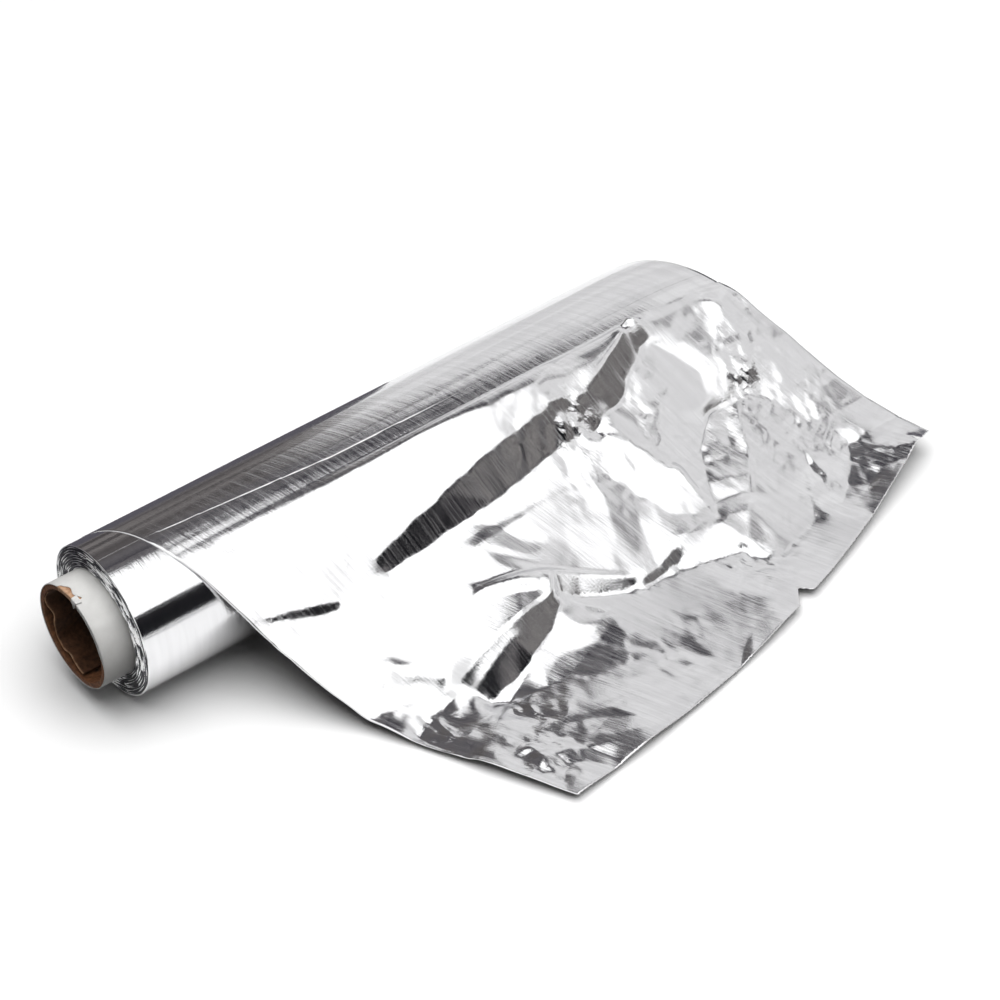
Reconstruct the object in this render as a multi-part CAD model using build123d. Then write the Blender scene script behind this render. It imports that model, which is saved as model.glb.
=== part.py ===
from build123d import *
import os
from math import cos, exp, pi, radians, sin, sqrt

# Roll of kitchen foil lying on its side, with its loose end pulled off over the floor.
# X runs along the roll, the loose end drapes towards -Y, Z is up.
# The origin is on the floor under the middle of the roll. Sizes are in millimetres.

# Driving dimensions of the roll and its core. The foil's build is its wound thickness.
foil_width = 300.0
foil_build = 11.1
flat_width = 8.0
core_bore = 47.0
core_wall = 2.4
core_overhang = 16.0
wrap_thickness = 0.4
wind_gap = 0.1

# Turns that stand proud of each end of the roll, as one spiral ridge
turn_pitch = 2.1
turn_proud = 0.9
turn_wave = 0.22
turn_margin = 0.5
steps_per_turn = 36

# The outermost turn slips sideways along the roll before it peels off
slip_start = -91.0
peel_angle = 24.0
near_slip = 29.7
far_slip = 45.7
bond_depth = 0.15

# The loose end beyond the peel line
leaf_gauge = 0.6
near_reach = 174.0
far_reach = 97.0
near_drift = 93.5
far_drift = 54.0
tear_bulge = 14.0
tear_tooth = 0.8
notch_share = 0.58
notch_depth = 7.0
notch_half_share = 0.025
sag_depth = 9.0
sag_length = 60.0
touch_down = 112.0

# Section of the drape: share of the run from peel line to floor, share of the peel height
drape = [(0, 1), (0.07, 0.95), (0.18, 0.78), (0.25, 0.6), (0.34, 0.47), (0.46, 0.34),
         (0.6, 0.21), (0.74, 0.12), (0.87, 0.06), (1, 0.02), (2, 0)]

# Main creases: start and end as shares across and along the loose end, then height and
# width as shares of the tallest and the widest one
crease_height = 6.0
crease_width = 19.0
creases = {
    "shoulder": (0.80, 0.04, 0.60, 0.16, 0.58, 0.58),
    "knee": (0.60, 0.31, 0.20, 0.38, 0.50, 0.79),
    "long_ridge": (0.38, 0.49, 0.12, 0.57, 1.00, 0.90),
    "near_ridge": (0.13, 0.57, 0.00, 0.60, 0.50, 0.63),
    "front_ridge": (0.13, 0.67, 0.38, 0.86, 0.75, 0.79),
    "tip_ridge": (0.06, 0.72, 0.11, 0.94, 0.50, 0.68),
    "middle_ridge": (0.62, 0.82, 0.66, 0.40, 0.75, 1.00),
    "far_ridge": (0.96, 0.56, 0.84, 0.88, 0.75, 0.79),
    "far_crease": (0.94, 0.28, 0.84, 0.42, 0.42, 0.53),
    "tear_ridge": (0.50, 0.90, 0.80, 0.95, 0.42, 0.58),
}

# Facets of the loose end
columns = 34
wrapped_rows = 8
leaf_rows = 22

# Torn patch of the white wrap at the near rim, with the scrap that hangs into the bore
patch_start = 9.8
patch_end = -4.1
patch_depths = [1.7, 2.6, 2.1, 3.6, 2.7, 4.0]
scrap_width = 3.4
scrap_angle = 6.0
scrap_root = 5.2
scrap_gap = 0.1
scrap_drop = 5.2
scrap_lean = 0.9

# Inmost ply of the core, peeled off the wall at the near rim
ply_thickness = 0.5
ply_depth = 17.0
ply_inset = 0.6
bed_margin = 1.0
ply_from_angle = -62.0
ply_to_angle = -193.0
ply_bond_angle = -72.0
ply_kink_angle = -135.0
upper_bulge = 6.2
lower_bulge = 4.4
ply_stand_off = 2.2
ply_steps = 26
nick_diameter = 1.4
nick_depth = 0.9
nick_angle = 168.0
nick_inset = 7.9

bore_radius = core_bore / 2
core_radius = bore_radius + core_wall
wrap_radius = core_radius + wrap_thickness
roll_radius = wrap_radius + wind_gap + foil_build
near_end = -foil_width / 2
far_end = foil_width / 2
core_length = foil_width + 2 * core_overhang
near_rim = -core_length / 2
axis_height = sqrt(roll_radius**2 - (flat_width / 2)**2)


def along_axis(shape, x):
    """Turn a shape built along Z so that it runs along the roll from x."""
    return Pos(x, 0, axis_height) * Rot(0, 90, 0) * shape


def ring(outer, inner, length, x):
    """A tube round the roll's axis that starts at x."""
    face = Circle(outer) - Circle(inner)
    return along_axis(extrude(face, length), x)


def polar(radius, angle, x):
    """Point at an angle from the top of the roll, positive towards the loose end."""
    a = radians(angle)
    return Vector(x, -radius * sin(a), axis_height + radius * cos(a))


def read_off(curve, share):
    """Height of a polyline of (share, height) pairs at one share."""
    for (a, low), (b, high) in zip(curve, curve[1:]):
        if share <= b:
            return low + (high - low) * (share - a) / (b - a)
    return curve[-1][1]


def spiral_outline(start_radius, end_radius):
    """Points of a slightly wavy spiral between two radii."""
    turns = (end_radius - start_radius) / turn_pitch
    count = int(turns * steps_per_turn)
    points = []
    for i in range(count + 1):
        angle = 2 * pi * i / steps_per_turn
        wave = turn_wave * sin(5 * angle) * sin(pi * i / count)
        radius = start_radius + turn_pitch * angle / (2 * pi) + wave
        points.append((radius * cos(angle), radius * sin(angle)))
    return points


def turn_ridge(x, direction):
    """The spiral of turns that stands proud of one end of the roll."""
    inner_start = wrap_radius + turn_margin
    outer_end = roll_radius - turn_margin
    width = turn_pitch / 2
    inner_edge = spiral_outline(inner_start, outer_end - width)
    outer_edge = spiral_outline(inner_start + width, outer_end)
    band = make_face(Polyline(*inner_edge, *reversed(outer_edge), close=True))
    ridge = extrude(band, turn_proud + bond_depth)
    if direction > 0:
        return along_axis(ridge, x - bond_depth)
    return along_axis(ridge, x - turn_proud)


def wound_turns():
    """All the turns of the roll, with the small flat that it lies on."""
    body = ring(roll_radius, wrap_radius + wind_gap, foil_width, near_end)
    body += turn_ridge(far_end, 1)
    body += turn_ridge(near_end, -1)
    floor_block = Box(2 * core_length, 4 * roll_radius, 2 * roll_radius,
                      align=(Align.CENTER, Align.CENTER, Align.MAX))
    return body - floor_block


def sag(x):
    """How far the sheet hangs below the roll's surface past its far end."""
    past = max(0.0, x - far_end) / sag_length
    return sag_depth * past**2


def wrapped_pair(across, along):
    """Under and upper point of the sheet where it still lies on the roll."""
    angle = slip_start + (peel_angle - slip_start) * along
    left = near_end + near_slip * along
    right = far_end + far_slip * along
    x = left + (right - left) * across
    drop = Vector(0, 0, -sag(x))
    rise = leaf_gauge * min(1.0, 4 * along + 0.1)
    under = polar(roll_radius - bond_depth, angle, x) + drop
    upper = polar(roll_radius - bond_depth + rise, angle, x) + drop
    return under, upper


def tear_reach(across):
    """Run of the loose end from the peel line to its torn edge, level with the floor."""
    reach = near_reach + (far_reach - near_reach) * across + tear_bulge * sin(pi * across)
    notch = max(0.0, 1 - abs(across - notch_share) / notch_half_share)
    tooth = tear_tooth * (-1)**round(across * columns)
    return reach - notch_depth * notch + tooth


def leaf_plan(across, along):
    """Place of a point of the loose end, seen from above."""
    left = near_end + near_slip + near_drift * along
    right = far_end + far_slip + far_drift * along
    peel_y = -(roll_radius - bond_depth) * sin(radians(peel_angle))
    return left + (right - left) * across, peel_y - tear_reach(across) * along


def crease_rise(x, y, crease):
    """Height that one crease adds: a tent along a line, fading towards its ends."""
    across_a, along_a, across_b, along_b, height_share, width_share = crease
    ax, ay = leaf_plan(across_a, along_a)
    bx, by = leaf_plan(across_b, along_b)
    length = sqrt((bx - ax)**2 + (by - ay)**2)
    run = ((x - ax) * (bx - ax) + (y - ay) * (by - ay)) / length
    side = abs((x - ax) * (by - ay) - (y - ay) * (bx - ax)) / length
    past = max(0.0, -run, run - length)
    fade = sqrt(side**2 + past**2) / (width_share * crease_width)
    return height_share * crease_height * max(0.0, 1 - fade)


def leaf_under(across, along):
    """Point on the underside of the loose end."""
    x, y = leaf_plan(across, along)
    peel_y = leaf_plan(across, 0)[1]
    peel_z = axis_height + (roll_radius - bond_depth) * cos(radians(peel_angle))
    share = (peel_y - y) / touch_down
    z = peel_z * read_off(drape, share) - sag(x) * exp(-3 * share)
    z += min(1.0, 6 * along) * sum(crease_rise(x, y, c) for c in creases.values())
    return Vector(x, y, max(0.0, z))


def sheet_points():
    """Under and upper points of the whole sheet, row by row from the slip to the tear."""
    under, upper = [], []
    for i in range(wrapped_rows):
        pairs = [wrapped_pair(j / columns, i / wrapped_rows) for j in range(columns + 1)]
        under.append([pair[0] for pair in pairs])
        upper.append([pair[1] for pair in pairs])
    leaf = [[leaf_under(j / columns, i / leaf_rows) for j in range(columns + 1)]
            for i in range(leaf_rows + 1)]
    for i, row in enumerate(leaf):
        before = leaf[max(0, i - 1)]
        after = leaf[min(leaf_rows, i + 1)]
        lifted = []
        for j, point in enumerate(row):
            sideways = row[min(columns, j + 1)] - row[max(0, j - 1)]
            normal = (after[j] - before[j]).cross(sideways).normalized()
            lifted.append(point + normal * leaf_gauge)
        under.append(row)
        upper.append(lifted)
    return under, upper


def quad(a, b, c, d):
    """Two flat facets that fill four corners."""
    return [Face(Wire.make_polygon([a, b, c])), Face(Wire.make_polygon([a, c, d]))]


def crumpled_sheet():
    """The slipped turn and the loose end, as flat facets folded over the creases."""
    under, upper = sheet_points()
    last = len(under) - 1
    facets = []
    for i in range(last):
        for j in range(columns):
            for side in (under, upper):
                facets += quad(side[i][j], side[i][j + 1], side[i + 1][j + 1], side[i + 1][j])
        for j in (0, columns):
            facets += quad(under[i][j], under[i + 1][j], upper[i + 1][j], upper[i][j])
    for j in range(columns):
        for i in (0, last):
            facets += quad(under[i][j], under[i][j + 1], upper[i][j + 1], upper[i][j])
    return Solid(Shell(facets))


def torn_patch():
    """Block over the top of the near rim whose inner side is the ragged tear."""
    count = len(patch_depths) - 1
    outline = [(near_rim - core_wall, patch_start)]
    for i, depth in enumerate(patch_depths):
        outline.append((near_rim + depth, patch_start + (patch_end - patch_start) * i / count))
    outline.append((near_rim - core_wall, patch_end))
    face = make_face(Polyline(*outline, close=True))
    return Pos(0, 0, axis_height) * extrude(face, roll_radius)


def hanging_scrap():
    """Scrap of the wrap that folds over the rim and hangs into the bore."""
    root = near_rim + scrap_root
    top = core_radius + scrap_gap
    front = near_rim - scrap_gap
    lip = bore_radius - 2 * scrap_gap
    low = core_radius - scrap_drop
    outline = [
        (root, top), (front, top), (front, lip), (front + scrap_lean, low),
        (front + scrap_lean - wrap_thickness, low), (front - wrap_thickness, lip),
        (front - wrap_thickness, core_radius), (front, top + wrap_thickness),
        (root, top + wrap_thickness),
    ]
    face = Plane.XZ * make_face(Polyline(*outline, close=True))
    scrap = extrude(face, scrap_width / 2, both=True)
    return Pos(0, 0, axis_height) * Rot(scrap_angle, 0, 0) * scrap


def ply_lift(angle):
    """How far the peeled ply stands off the wall of the bore at one angle."""
    if angle > ply_bond_angle:
        return 0.0
    if angle > ply_kink_angle:
        share = (ply_bond_angle - angle) / (ply_bond_angle - ply_kink_angle)
        return upper_bulge * sin(pi * share)**1.5 + ply_stand_off * share**2
    share = (ply_kink_angle - angle) / (ply_kink_angle - ply_to_angle)
    return ply_stand_off + lower_bulge * sin(pi * share) * (1 - 0.4 * share)


def peeled_ply():
    """The loose inner ply: a thin wavy strip that starts flush in the wall."""
    wall_side, bore_side = [], []
    for i in range(ply_steps + 1):
        angle = ply_from_angle + (ply_to_angle - ply_from_angle) * i / ply_steps
        outer = bore_radius + ply_thickness - ply_lift(angle)
        a = radians(angle)
        wall_side.append((-outer * sin(a), outer * cos(a)))
        inner = outer - ply_thickness
        bore_side.append((-inner * sin(a), inner * cos(a)))
    face = Plane.YZ * make_face(Polyline(*wall_side, *reversed(bore_side), close=True))
    strip = extrude(face, ply_depth)
    return Pos(near_rim + ply_inset, 0, axis_height) * strip


def ply_bed():
    """Shallow bed in the bore wall that the peeled ply came out of."""
    wide = Circle(bore_radius + ply_thickness)
    bed = extrude(wide, ply_inset + ply_depth + bed_margin)
    return along_axis(bed, near_rim)


def nick():
    """Small pit in the bore wall near the near rim."""
    pit = Cylinder(nick_diameter / 2, 2 * nick_depth)
    place = polar(bore_radius + ply_thickness, nick_angle, near_rim + nick_inset)
    return Pos(*place) * Rot(nick_angle, 0, 0) * pit


core_tube = ring(core_radius, bore_radius, core_length, near_rim) - ply_bed() - nick()
white_wrap = ring(wrap_radius, core_radius, core_length, near_rim) - torn_patch()
white_wrap += hanging_scrap()
inner_ply = peeled_ply()
foil = wound_turns() + crumpled_sheet()

nodes = {
    "core_tube": core_tube,
    "core_white_wrap": white_wrap,
    "core_inner_ply": inner_ply,
    "foil": foil,
}

os.makedirs("parts", exist_ok=True)
for name, shape in nodes.items():
    solids = shape.solids()
    print(name, len(solids), "solids", round(sum(s.volume for s in solids)), "mm3")
    export_step(shape, f"parts/{name}.step")
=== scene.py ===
import math
import bpy
import numpy as np
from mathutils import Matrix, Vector


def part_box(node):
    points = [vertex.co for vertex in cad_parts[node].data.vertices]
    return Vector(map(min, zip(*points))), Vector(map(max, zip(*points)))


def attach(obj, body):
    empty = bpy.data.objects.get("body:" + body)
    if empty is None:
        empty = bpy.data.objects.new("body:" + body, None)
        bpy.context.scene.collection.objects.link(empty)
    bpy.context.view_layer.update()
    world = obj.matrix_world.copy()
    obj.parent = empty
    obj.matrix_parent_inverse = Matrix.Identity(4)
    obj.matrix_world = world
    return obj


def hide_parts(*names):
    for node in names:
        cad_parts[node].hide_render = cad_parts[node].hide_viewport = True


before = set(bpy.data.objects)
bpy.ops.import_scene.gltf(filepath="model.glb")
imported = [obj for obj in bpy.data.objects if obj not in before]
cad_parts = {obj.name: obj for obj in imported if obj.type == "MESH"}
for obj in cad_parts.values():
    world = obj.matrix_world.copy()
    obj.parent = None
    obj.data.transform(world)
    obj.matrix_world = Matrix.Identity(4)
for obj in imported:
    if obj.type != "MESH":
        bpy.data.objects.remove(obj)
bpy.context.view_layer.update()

# Roll of kitchen foil with its loose end pulled off over the floor. Lengths are in
# millimetres until a mesh is made; X runs along the roll, the loose end drapes towards -Y.

millimetre = 0.001
scene = bpy.context.scene
scene.view_settings.view_transform = "Standard"


def cadBox(node):
    # lowest and highest corner of a CAD node, in millimetres
    low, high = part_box(node)
    return np.array(low) / millimetre, np.array(high) / millimetre


foilLow, foilHigh = cadBox("foil")
tubeLow, tubeHigh = cadBox("core_tube")

roll = {
    "nearX": -150.0,
    "farX": 150.0,
    "radius": foilHigh[1],
    "axisZ": (tubeLow[2] + tubeHigh[2]) / 2,
    "boreRadius": 23.5,
    "coreRadius": (tubeHigh[1] - tubeLow[1]) / 2,
    "wrapThickness": 0.4,
}
roll["wrapRadius"] = roll["coreRadius"] + roll["wrapThickness"]
roll["innerRadius"] = roll["wrapRadius"] + 0.05


def gridFaces(rows, columns, closeRows, closeColumns):
    # quads of a grid numbered row by row; a closed way joins its last line to its first
    a = np.arange(rows if closeRows else rows - 1)
    b = np.arange(columns if closeColumns else columns - 1)
    i, j = np.meshgrid(a, b, indexing="ij")
    nextI, nextJ = (i + 1) % rows, (j + 1) % columns
    corners = [i * columns + j, i * columns + nextJ, nextI * columns + nextJ, nextI * columns + j]
    return np.stack(corners, -1).reshape(-1, 4)


def signedVolume(points, faces):
    # sum of the tetrahedra from the origin to each half of each quad
    a, b, c, d = (points[faces[:, k]] for k in range(4))
    first = np.einsum("ij,ij->i", a, np.cross(b, c))
    second = np.einsum("ij,ij->i", a, np.cross(c, d))
    return (first + second).sum() / 6


def closeSheet(top, bottom):
    # two skins on one grid, joined by a strip of quads round the border, which come last
    rows, columns = top.shape[:2]
    count = rows * columns
    upper = gridFaces(rows, columns, False, False)
    border = np.concatenate([
        np.arange(columns), np.arange(1, rows) * columns + columns - 1,
        (rows - 1) * columns + np.arange(columns - 2, -1, -1),
        np.arange(rows - 2, 0, -1) * columns])
    following = np.roll(border, -1)
    rim = np.stack([following, border, border + count, following + count], -1)
    points = np.concatenate([top.reshape(-1, 3), bottom.reshape(-1, 3)])
    return points, np.concatenate([upper, upper[:, ::-1] + count, rim]), len(rim)


def makePiece(name, points, faces, material, nodes=(), uv=None, marks=None, flat=0):
    # a closed piece of quads, faces outwards, the last few flat, riding on the one body
    if signedVolume(points, faces) < 0:
        faces = faces[:, ::-1]
    mesh = bpy.data.meshes.new(name)
    mesh.vertices.add(len(points))
    mesh.vertices.foreach_set("co", (points * millimetre).astype(np.float32).ravel())
    mesh.loops.add(faces.size)
    mesh.loops.foreach_set("vertex_index", faces.ravel().astype(np.int32))
    mesh.polygons.add(len(faces))
    mesh.polygons.foreach_set("loop_start", np.arange(0, faces.size, 4, dtype=np.int32))
    mesh.polygons.foreach_set("use_smooth", np.arange(len(faces)) < len(faces) - flat)
    mesh.update(calc_edges=True)
    if uv is not None:
        layer = mesh.uv_layers.new(name="web")
        layer.data.foreach_set("uv", uv[faces.ravel()].astype(np.float32).ravel())
    for markName, values in (marks or {}).items():
        mark = mesh.attributes.new(markName, "FLOAT", "POINT")
        mark.data.foreach_set("value", values.astype(np.float32).ravel())
    mesh.materials.append(material)
    piece = bpy.data.objects.new(name, mesh)
    scene.collection.objects.link(piece)
    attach(piece, "root")
    if nodes:
        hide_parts(*nodes)
    return piece


def aroundAxis(x, radius, angle):
    # point at a radius and an angle from the top of the roll, positive towards the loose end
    return np.stack([x, -radius * np.sin(angle), roll["axisZ"] + radius * np.cos(angle)], -1)


def smooth(t):
    # 0 below 0, 1 above 1, and 3t^2 - 2t^3 between
    t = np.clip(t, 0, 1)
    return t * t * (3 - 2 * t)


def ripple(angle, seed, waves, firstWave=1):
    # sum of sine waves round the roll with seeded heights and phases, about -1 to 1
    rng = np.random.default_rng(seed)
    total = np.zeros_like(angle)
    for k in range(firstWave, firstWave + waves):
        total = total + rng.normal(0, 1) * np.sin(k * angle + rng.uniform(0, 2 * np.pi))
    return total / math.sqrt(waves)


class Surface:
    # a Principled material and short ways to add nodes to it
    def __init__(self, name, colour, metallic, roughness):
        self.material = bpy.data.materials.new(name)
        self.material.use_nodes = True
        self.tree = self.material.node_tree
        self.shader = self.tree.nodes["Principled BSDF"]
        self.shader.inputs["Base Color"].default_value = (*colour, 1)
        self.shader.inputs["Metallic"].default_value = metallic
        self.shader.inputs["Roughness"].default_value = roughness

    def add(self, kind, settings=None, inputs=None):
        node = self.tree.nodes.new(kind)
        for key, value in (settings or {}).items():
            setattr(node, key, value)
        for key, value in (inputs or {}).items():
            if isinstance(value, bpy.types.NodeSocket):
                self.tree.links.new(value, node.inputs[key])
            else:
                node.inputs[key].default_value = value
        return node

    def noise(self, vector, scale, detail=3.0, roughness=0.5, distortion=0.0):
        return self.add("ShaderNodeTexNoise", inputs={
            "Vector": vector, "Scale": scale, "Detail": detail,
            "Roughness": roughness, "Distortion": distortion}).outputs["Fac"]

    def mapped(self, vector, scale=(1, 1, 1), rotation=(0, 0, 0)):
        return self.add("ShaderNodeMapping", inputs={
            "Vector": vector, "Scale": scale, "Rotation": rotation}).outputs["Vector"]

    def ramp(self, factor, stops):
        node = self.add("ShaderNodeValToRGB", inputs={"Fac": factor})
        elements = node.color_ramp.elements
        while len(elements) < len(stops):
            elements.new(0.5)
        for element, (place, colour) in zip(elements, stops):
            element.position = place
            element.color = (*colour, 1) if len(colour) == 3 else colour
        return node.outputs["Color"]

    def range(self, value, low, high, toLow, toHigh):
        return self.add("ShaderNodeMapRange", inputs={
            "Value": value, "From Min": low, "From Max": high,
            "To Min": toLow, "To Max": toHigh}).outputs["Result"]

    def mixed(self, factor, first, second):
        return self.add("ShaderNodeMix", {"data_type": "RGBA"}, {
            "Factor": factor, 6: first, 7: second}).outputs[2]

    def mark(self, name):
        return self.add("ShaderNodeAttribute", {"attribute_name": name}).outputs["Fac"]

    def times(self, first, second):
        return self.add("ShaderNodeMath", {"operation": "MULTIPLY"}, {0: first, 1: second}).outputs[0]

    def bump(self, height, strength, distance, normal=None):
        inputs = {"Height": height, "Strength": strength, "Distance": distance}
        if normal is not None:
            inputs["Normal"] = normal
        return self.add("ShaderNodeBump", inputs=inputs).outputs["Normal"]

    def link(self, socket, name):
        self.tree.links.new(socket, self.shader.inputs[name])


foilLook = {
    "colour": (0.81, 0.81, 0.82),
    "paleColour": (0.77, 0.77, 0.78),
    "roughness": 0.11,
    "streakWidth": 0.9,       # across the web
    "streakLength": 45.0,     # along the web
    "streakHeight": 0.035,
    "grainSize": 0.9,
    "grainHeight": 0.022,
    "wideStreakWidth": 3.2,
    "wideStreakHeight": 0.062,
    "leafShare": 0.45,        # of that on the loose end
    "axialWidth": 1.7,        # streaks along the roll, on the wound part only
    "axialLength": 70.0,
    "axialHeight": 0.03,
    "creaseWidth": 0.5,       # the bright line along the top of the roll
    "creaseHeight": 0.15,
    "creaseFar": 9.0,         # mark of a place with no crease near it
    "crinkleSize": 6.5,
    "crinkleHeight": 0.6,
    "fineCrinkleSize": 2.4,
    "fineCrinkleHeight": 0.22,
    "crinkleAspect": 0.55,
    "crinkleTurn": 0.5,
    "patchSize": 9.0,         # crinkles come in patches
    # end faces: a painted highlight on the edges of the turns, painted shade on their sides and in the
    # gaps
    "gapPaintedShade": (0.03, 0.03, 0.035),
    "edgeShade": (0.16, 0.16, 0.17),
    "crestPaintedHighlight": (0.95, 0.95, 0.95),
    "edgeRoughness": 0.30,
}


def foilMaterial(name, roughness):
    # rolled aluminium: streaks along the web over a fine grain, streaks along the roll times
    # the wound mark, one crease, and folded cells whose height is the distance to the nearest
    # fold times the crumple mark and a patchy noise. The streaks also change the roughness,
    # and the wide ones the colour.
    look = foilLook
    surface = Surface(name, look["colour"], 1.0, roughness)
    place = surface.add("ShaderNodeUVMap", {"uv_map": "web"}).outputs["UV"]
    crumpled, wound, crease = surface.mark("crumple"), surface.mark("wound"), surface.mark("crease")
    streakScale = (1 / look["streakWidth"], 1 / look["streakLength"], 1)
    wideScale = (1 / look["wideStreakWidth"], 1 / look["streakLength"], 1)
    axialScale = (1 / look["axialLength"], 1 / look["axialWidth"], 1)
    streak = surface.noise(surface.mapped(place, streakScale), 1.0, 4.0, 0.6)
    wide = surface.noise(surface.mapped(place, wideScale), 1.0, 2.0)
    axial = surface.noise(surface.mapped(place, axialScale), 1.0, 3.0, 0.6)
    grain = surface.noise(surface.mapped(place, (1 / look["grainSize"],) * 3), 1.0, 2.0)
    normal = surface.bump(streak, 1.0, look["streakHeight"] * millimetre)
    share = surface.range(wound, 0, 1, look["leafShare"], 1)
    normal = surface.bump(surface.times(wide, share), 1.0, look["wideStreakHeight"] * millimetre, normal)
    normal = surface.bump(grain, 1.0, look["grainHeight"] * millimetre, normal)
    normal = surface.bump(surface.times(axial, wound), 1.0, look["axialHeight"] * millimetre, normal)
    away = surface.add("ShaderNodeMath", {"operation": "ABSOLUTE"}, {0: crease}).outputs[0]
    ridge = surface.range(away, 0, look["creaseWidth"], 1, 0)
    normal = surface.bump(ridge, 1.0, look["creaseHeight"] * millimetre, normal)
    patch = surface.noise(surface.mapped(place, (1 / look["patchSize"],) * 3), 1.0, 2.0)
    patchy = surface.times(crumpled, surface.range(patch, 0.42, 0.62, 0, 1))
    for size, height in (("crinkleSize", "crinkleHeight"), ("fineCrinkleSize", "fineCrinkleHeight")):
        scale = (1 / look[size], look["crinkleAspect"] / look[size], 1)
        turned = surface.mapped(place, scale, (0, 0, look["crinkleTurn"]))
        cell = surface.add("ShaderNodeTexVoronoi", {"feature": "DISTANCE_TO_EDGE"}, {
            "Vector": turned, "Scale": 1.0}).outputs["Distance"]
        normal = surface.bump(surface.times(cell, patchy), 1.0, look[height] * millimetre, normal)
    surface.link(normal, "Normal")
    shine = surface.range(streak, 0.36, 0.66, roughness * 0.7, roughness * 2.2)
    colour = surface.ramp(wide, [(0.35, look["paleColour"]), (0.62, look["colour"])])
    surface.link(shine, "Roughness")
    surface.link(colour, "Base Color")
    return surface


def woundMaterial(name, roughness):
    # the same foil; on the end faces the gap mark runs from a painted highlight on the edges to painted
    # shade in the gaps
    surface = foilMaterial(name, roughness)
    gap, end = surface.mark("gap"), surface.mark("end")
    edge, side = foilLook["crestPaintedHighlight"], foilLook["edgeShade"]
    crestHighlightAndGapShade = [(0.0, edge), (0.42, edge), (0.62, side), (0.9, foilLook["gapPaintedShade"])]
    plain = surface.shader.inputs["Base Color"].links[0].from_socket
    colour = surface.mixed(end, plain, surface.ramp(gap, crestHighlightAndGapShade))
    surface.link(colour, "Base Color")
    surface.link(surface.range(end, 0, 1, roughness, foilLook["edgeRoughness"]), "Roughness")
    return surface


kraftLook = {
    "boreLight": (0.21, 0.09, 0.04),
    "boreDark": (0.075, 0.030, 0.013),
    # the ply's tones are the board's kraft darkened, painted shade for the inside of the bore
    "plyShadedPale": (0.095, 0.043, 0.021),
    "plyShadedDark": (0.032, 0.013, 0.006),
    # painted shade: near black where the nick in the board is
    "nick": (0.004, 0.003, 0.003),
    "tornLight": (0.56, 0.36, 0.23),
    "tornDark": (0.33, 0.17, 0.09),
    "paper": (0.665, 0.66, 0.645),
    "paperShade": (0.59, 0.585, 0.57),
}


def mottledMaterial(name, light, dark, roughness, scale, bumpHeight, torn=None):
    # board or paper: soft mottle between two tones over a fine fibre, paler where it is torn
    # and near black in the nick, which is painted shade
    surface = Surface(name, light, 0.0, roughness)
    place = surface.add("ShaderNodeTexCoord").outputs["Object"]
    mottle = surface.noise(surface.mapped(place, (scale,) * 3), 1.0, 5.0, 0.6)
    colour = surface.ramp(mottle, [(0.35, dark), (0.65, light)])
    if torn is not None:
        pale = surface.ramp(mottle, [(0.35, torn[0]), (0.62, torn[1])])
        colour = surface.mixed(surface.mark("torn"), colour, pale)
        colour = surface.mixed(surface.mark("nick"), colour, (*kraftLook["nick"], 1))
    surface.link(colour, "Base Color")
    fibre = surface.noise(surface.mapped(place, (scale * 2, scale * 6, scale * 6)), 1.0, 4.0)
    surface.link(surface.bump(fibre, 0.6, bumpHeight * millimetre), "Normal")
    return surface.material


print("materials")
looseFoil = foilMaterial("looseFoil", foilLook["roughness"]).material
woundFoil = woundMaterial("woundFoil", foilLook["roughness"]).material
tornTones = (kraftLook["tornDark"], kraftLook["tornLight"])
kraftBoard = mottledMaterial("kraftBoard", kraftLook["boreLight"], kraftLook["boreDark"],
                             0.85, 420, 0.12, tornTones)
# the ply takes the darker kraft tones, painted shade inside the bore
kraftPlyShaded = mottledMaterial("kraftPlyShaded", kraftLook["plyShadedPale"], kraftLook["plyShadedDark"],
                           0.9, 420, 0.12, tornTones)
whitePaper = mottledMaterial("whitePaper", kraftLook["paper"], kraftLook["paperShade"],
                             0.6, 90, 0.03)


turns = {
    "pitch": 1.22,
    "crest": 0.9,          # how far an edge stands out of the end face
    "sharp": 4.5,
    "wave": 0.30,          # how far an edge wanders in radius
    "angles": 680,
    "nearRows": 100,
    "farRows": 24,
    "edgeRows": [0.1, 0.3, 1.0, 3.0],
    "sideRows": 12,
    "sideInset": 8.0,
}


def endDepth(radius, angle, seed):
    # wavy spiral crests: cosine of radius over pitch less angle, sharpened, with seeded heights;
    # also how deep in a gap each point lies, 0 on a crest and at both rims
    reach = (radius - roll["innerRadius"]) / (roll["radius"] - roll["innerRadius"])
    wander = ripple(angle, seed, 7, 2) + ripple(angle + reach * 2, seed + 1, 12, 8) * 0.6
    edgeFade = np.clip(np.minimum(reach, 1 - reach) * 6, 0, 1)
    phase = (radius + turns["wave"] * wander * edgeFade) / turns["pitch"] - angle / (2 * np.pi)
    crest = (0.5 + 0.5 * np.cos(2 * np.pi * phase)) ** turns["sharp"]
    height = np.clip(0.6 + 0.5 * ripple(angle + 0.9 * np.floor(phase), seed + 2, 14, 3), 0.05, 1.4)
    crest = crest * height
    rim = smooth((reach - 0.93) / 0.07) + smooth((0.03 - reach) / 0.03)
    return turns["crest"] * crest * edgeFade, np.clip(1 - crest - rim, 0, 1)


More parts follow.
